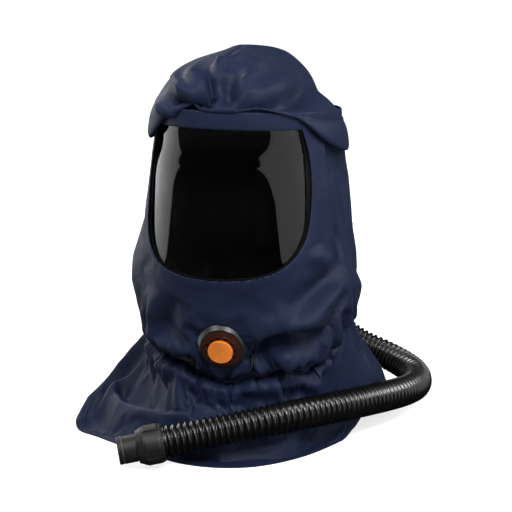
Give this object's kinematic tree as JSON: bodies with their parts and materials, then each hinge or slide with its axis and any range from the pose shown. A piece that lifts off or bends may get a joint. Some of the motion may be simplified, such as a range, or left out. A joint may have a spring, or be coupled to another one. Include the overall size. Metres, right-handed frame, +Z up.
{
  "type": "powered air respirator hood",
  "caption": "Loose-fitting respirator hood with a clear wrap-round visor, exhalation valve, gathered neck, shoulder cape and corrugated breathing hose.",
  "frame": {"origin": "centre of the footprint of the hood, cape and air inlet, on the floor that the cape lies on", "axes": "+Z up, visor facing -Y"},
  "size_m": [0.3935, 0.4243, 0.4585],
  "materials": {
    "hood_fabric": "coated woven, matt",
    "visor_clear": "clear glossy film",
    "black_trim": "satin",
    "elastic": "woven elastic",
    "valve_black": "satin moulded",
    "valve_amber": "dark amber, glossy",
    "valve_orange": "matt moulded",
    "soft_rubber": "matt",
    "harness_plastic": "satin moulded",
    "sweat_foam": "brushed knit over foam",
    "hose_black": "glossy corrugated",
    "connector_grey": "fine moulded grain",
    "duct_plastic": "satin moulded",
    "diffuser_foam": "open-cell foam"
  },
  "bodies": {
    "hood": {"face_panel": "hood_fabric", "back_panel": "hood_fabric", "brow_band": "hood_fabric", "crown_left": "hood_fabric", "crown_right": "hood_fabric", "visor": "visor_clear", "visor_binding": "black_trim", "neck_casing": "hood_fabric", "neck_elastic": "elastic", "cape_hem": "hood_fabric", "cape_front": "hood_fabric", "cape_back": "hood_fabric", "valve_gasket": "soft_rubber", "valve_seat": "valve_black", "valve_bezel": "valve_black", "headband": "harness_plastic", "sweatband": "sweat_foam", "crown_strap_side": "harness_plastic", "crown_strap_long": "harness_plastic", "harness_rivets": "harness_plastic", "ratchet_housing": "valve_black", "ratchet_cover": "valve_black", "hose_lower_cuff": "connector_grey", "hose_spigot": "connector_grey", "spigot_o_ring": "soft_rubber", "breathing_hose": "hose_black", "inlet_elbow": "connector_grey", "inlet_gasket": "soft_rubber", "inlet_lock_ring": "connector_grey", "hose_upper_cuff": "connector_grey", "air_duct": "duct_plastic", "air_diffuser": "diffuser_foam"},
    "coupling_nut": {"coupling_nut": "connector_grey"},
    "valve_cover": {"valve_cover": "valve_amber", "valve_cap": "valve_orange"},
    "valve_membrane": {"valve_membrane": "soft_rubber"},
    "ratchet_knob": {"ratchet_knob": "valve_black", "ratchet_pinion": "valve_black"},
    "nape_strap_left": {"nape_strap_left": "harness_plastic"},
    "nape_strap_right": {"nape_strap_right": "harness_plastic"}
  },
  "joints": [
    {"name": "coupling_nut_turn", "type": "hinge", "parent": "hood", "child": "coupling_nut", "pos_m": [-0.03614, -0.20201, 0.02668], "axis": [-0.8837, -0.4418, -0.1546], "continuous": true},
    {"name": "valve_cover_pull", "type": "slide", "parent": "hood", "child": "valve_cover", "axis": [0.1511, -0.954, -0.2588], "range_m": [0, 0.03]},
    {"name": "valve_membrane_lift", "type": "slide", "parent": "hood", "child": "valve_membrane", "axis": [0.1511, -0.954, -0.2588], "range_m": [0, 0.0014], "stiffness_N_per_m": 40, "springref_m": -0.001},
    {"name": "ratchet_knob_turn", "type": "hinge", "parent": "hood", "child": "ratchet_knob", "pos_m": [0.02111, 0.0741, 0.34863], "axis": [0, 0.9848, -0.1736], "range_deg": [-150, 150]},
    {"name": "nape_strap_left_slide", "type": "hinge", "parent": "hood", "child": "nape_strap_left", "pos_m": [0.02111, -0.00468, 0.36253], "axis": [0, 0.1736, 0.9848], "range_deg": [-11.6, 11.6]},
    {"name": "nape_strap_right_slide", "type": "hinge", "parent": "hood", "child": "nape_strap_right", "pos_m": [0.02111, -0.00468, 0.36253], "axis": [0, 0.1736, 0.9848], "range_deg": [-11.6, 11.6]}
  ],
  "couplings": [
    {"joint": "nape_strap_left_slide", "follows": "ratchet_knob_turn", "ratio": -0.0743},
    {"joint": "nape_strap_right_slide", "follows": "ratchet_knob_turn", "ratio": 0.076}
  ]
}
